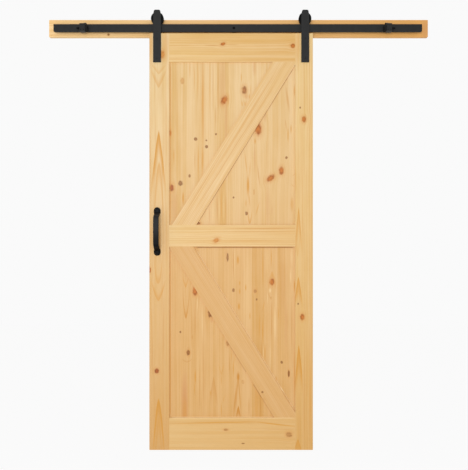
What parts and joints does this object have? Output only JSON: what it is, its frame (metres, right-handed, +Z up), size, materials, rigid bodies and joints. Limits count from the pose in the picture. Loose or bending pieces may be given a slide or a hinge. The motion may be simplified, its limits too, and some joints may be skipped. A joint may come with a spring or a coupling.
{
  "type": "sliding barn door",
  "caption": "Pine barn door with braced panels and a pull handle, hung by steel straps and grooved wheels from a flat black rail on a header board with end stops.",
  "frame": {"origin": "middle of the header board's back face, which lies on the wall", "axes": "+X along the rail to the right as seen from the room, +Y into the wall, +Z up"},
  "size_m": [1.968, 0.16, 2.253],
  "materials": {
    "pine": "clear-finished knotty pine, satin",
    "dowel_wood": "bare beech",
    "black_steel": "matt black powder coat",
    "black_nylon": "moulded nylon, matt",
    "black_rubber": "moulded rubber",
    "bright_steel": "zinc-plated or ground steel"
  },
  "bodies": {
    "track": {"header_board": "pine", "rail": "black_steel", "rail_bolts": "black_steel", "stop_set_screws": "bright_steel", "rail_spacer_1": "black_steel", "rail_spacer_2": "black_steel", "rail_spacer_3": "black_steel", "rail_spacer_4": "black_steel", "rail_spacer_5": "black_steel", "left_stop_block": "black_steel", "left_stop_bumper": "black_rubber", "left_stop_stud": "black_steel", "left_stop_nut": "black_steel", "right_stop_block": "black_steel", "right_stop_bumper": "black_rubber", "right_stop_stud": "black_steel", "right_stop_nut": "black_steel"},
    "door": {"left_stile": "pine", "right_stile": "pine", "top_rail": "pine", "mid_rail": "pine", "bottom_rail": "pine", "upper_panel": "pine", "lower_panel": "pine", "front_upper_brace": "pine", "front_lower_brace": "pine", "back_upper_brace": "pine", "back_lower_brace": "pine", "frame_dowels": "dowel_wood", "hanger_bolts": "black_steel", "hanger_nuts": "black_steel", "jump_disc_screws": "bright_steel", "pull_handle": "black_steel", "handle_screws": "bright_steel", "left_hanger_strap": "black_steel", "left_axle_bolt": "black_steel", "left_axle_spacer": "bright_steel", "left_bearing_inner_ring": "bright_steel", "left_jump_disc": "black_nylon", "right_hanger_strap": "black_steel", "right_axle_bolt": "black_steel", "right_axle_spacer": "bright_steel", "right_bearing_inner_ring": "bright_steel", "right_jump_disc": "black_nylon"},
    "left_wheel": {"left_wheel": "black_nylon", "left_bearing_outer_ring": "bright_steel", "left_bearing_shields": "black_steel"},
    "left_ball_cage": {"left_bearing_cage": "black_nylon", "left_bearing_balls": "bright_steel"},
    "right_wheel": {"right_wheel": "black_nylon", "right_bearing_outer_ring": "bright_steel", "right_bearing_shields": "black_steel"},
    "right_ball_cage": {"right_bearing_cage": "black_nylon", "right_bearing_balls": "bright_steel"}
  },
  "joints": [
    {"name": "door_slide", "type": "slide", "parent": "track", "child": "door", "axis": [1, 0, 0], "range_m": [-0.333, 0.38]},
    {"name": "left_wheel_spin", "type": "hinge", "parent": "door", "child": "left_wheel", "pos_m": [-0.417, -0.052, 0.038], "axis": [0, 1, 0], "continuous": true},
    {"name": "left_ball_cage_spin", "type": "hinge", "parent": "door", "child": "left_ball_cage", "pos_m": [-0.417, -0.052, 0.038], "axis": [0, 1, 0], "continuous": true},
    {"name": "right_wheel_spin", "type": "hinge", "parent": "door", "child": "right_wheel", "pos_m": [0.341, -0.052, 0.038], "axis": [0, 1, 0], "continuous": true},
    {"name": "right_ball_cage_spin", "type": "hinge", "parent": "door", "child": "right_ball_cage", "pos_m": [0.341, -0.052, 0.038], "axis": [0, 1, 0], "continuous": true}
  ],
  "couplings": [
    {"joint": "left_wheel_spin", "follows": "door_slide", "rad_per_m": 35.714},
    {"joint": "left_ball_cage_spin", "follows": "door_slide", "rad_per_m": 22.222},
    {"joint": "right_wheel_spin", "follows": "door_slide", "rad_per_m": 35.714},
    {"joint": "right_ball_cage_spin", "follows": "door_slide", "rad_per_m": 22.222}
  ]
}
